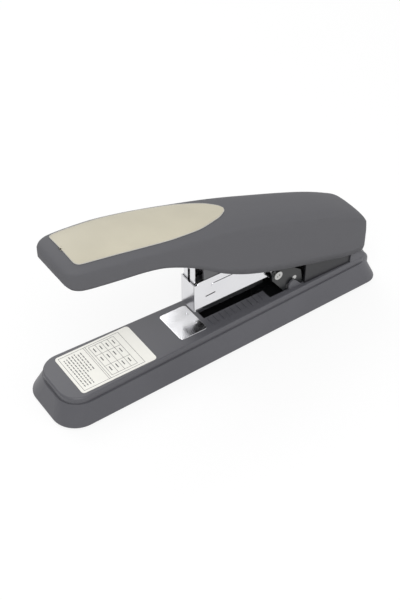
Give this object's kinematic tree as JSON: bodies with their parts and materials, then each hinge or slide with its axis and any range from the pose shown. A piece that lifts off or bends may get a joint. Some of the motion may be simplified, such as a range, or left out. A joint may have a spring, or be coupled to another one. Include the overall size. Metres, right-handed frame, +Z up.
{
  "type": "heavy-duty desk stapler",
  "caption": "Long-handled desk stapler with a flared base, anvil plate, hinged chromed magazine, driver blade and inlaid grip panel.",
  "frame": {"origin": "centre of the base's outline at table level", "axes": "+X to the rear, towards the handle pivot; +Y to the far side; +Z up"},
  "size_m": [0.29, 0.0632, 0.1359],
  "materials": {
    "dark_shell": "satin dark grey moulding",
    "black_plastic": "matt black moulding",
    "black_steel": "black painted steel",
    "foot_rubber": "matt rubber",
    "bright_steel": "bright plated steel",
    "spring_steel": "spring wire",
    "chrome": "chrome plate",
    "driver_steel": "dark steel",
    "staple_wire": "galvanised wire",
    "label": "pale printed plate",
    "grip": "warm grey soft-touch panel"
  },
  "bodies": {
    "base": {"base_cover": "dark_shell", "base_plate": "black_steel", "base_feet": "foot_rubber", "base_screws": "bright_steel", "anvil_plate": "chrome", "label_plate": "label", "pivot_bracket": "black_steel", "bracket_rivets": "bright_steel", "magazine_pin": "bright_steel", "rear_housing": "black_plastic", "handle_pin": "bright_steel", "spring_pin": "bright_steel", "return_spring": "spring_steel", "handle_stop": "foot_rubber"},
    "magazine": {"magazine_body": "chrome", "nose_guide": "bright_steel", "staple_rail": "bright_steel", "staple_strip": "staple_wire", "lower_channel": "black_steel", "guide_rod": "bright_steel", "rail_end_stop": "bright_steel", "pusher_spring": "spring_steel"},
    "pusher": {"pusher": "black_steel"},
    "driver": {"driver_blade": "chrome", "driver_holder": "driver_steel", "driver_rivets": "bright_steel"},
    "handle": {"handle_shell": "dark_shell", "grip_panel": "grip", "handle_frame": "driver_steel", "handle_bushes": "black_plastic", "handle_pad": "black_plastic", "link_pin": "bright_steel", "cross_pin": "bright_steel"}
  },
  "joints": [
    {"name": "handle_press", "type": "hinge", "parent": "base", "child": "handle", "pos_m": [0.112, 0, 0.042], "axis": [0, -1, 0], "range_deg": [0, 14], "stiffness_Nm_per_rad": 2.5, "springref_deg": -25.78, "deforming": ["return_spring"]},
    {"name": "magazine_tilt", "type": "hinge", "parent": "base", "child": "magazine", "pos_m": [0.0495, 0, 0.0405], "axis": [0, -1, 0], "range_deg": [0, 10.9]},
    {"name": "driver_stroke", "type": "slide", "parent": "magazine", "child": "driver", "axis": [0, 0, -1], "range_m": [0, 0.0188]},
    {"name": "pusher_slide", "type": "slide", "parent": "magazine", "child": "pusher", "axis": [1, 0, 0], "range_m": [0, 0.022], "stiffness_N_per_m": 40, "springref_m": -0.03, "deforming": ["pusher_spring"]}
  ],
  "couplings": [
    {"joint": "magazine_tilt", "follows": "handle_press", "ratio": 0.7714},
    {"joint": "driver_stroke", "follows": "handle_press", "m_per_rad": 0.07612}
  ]
}
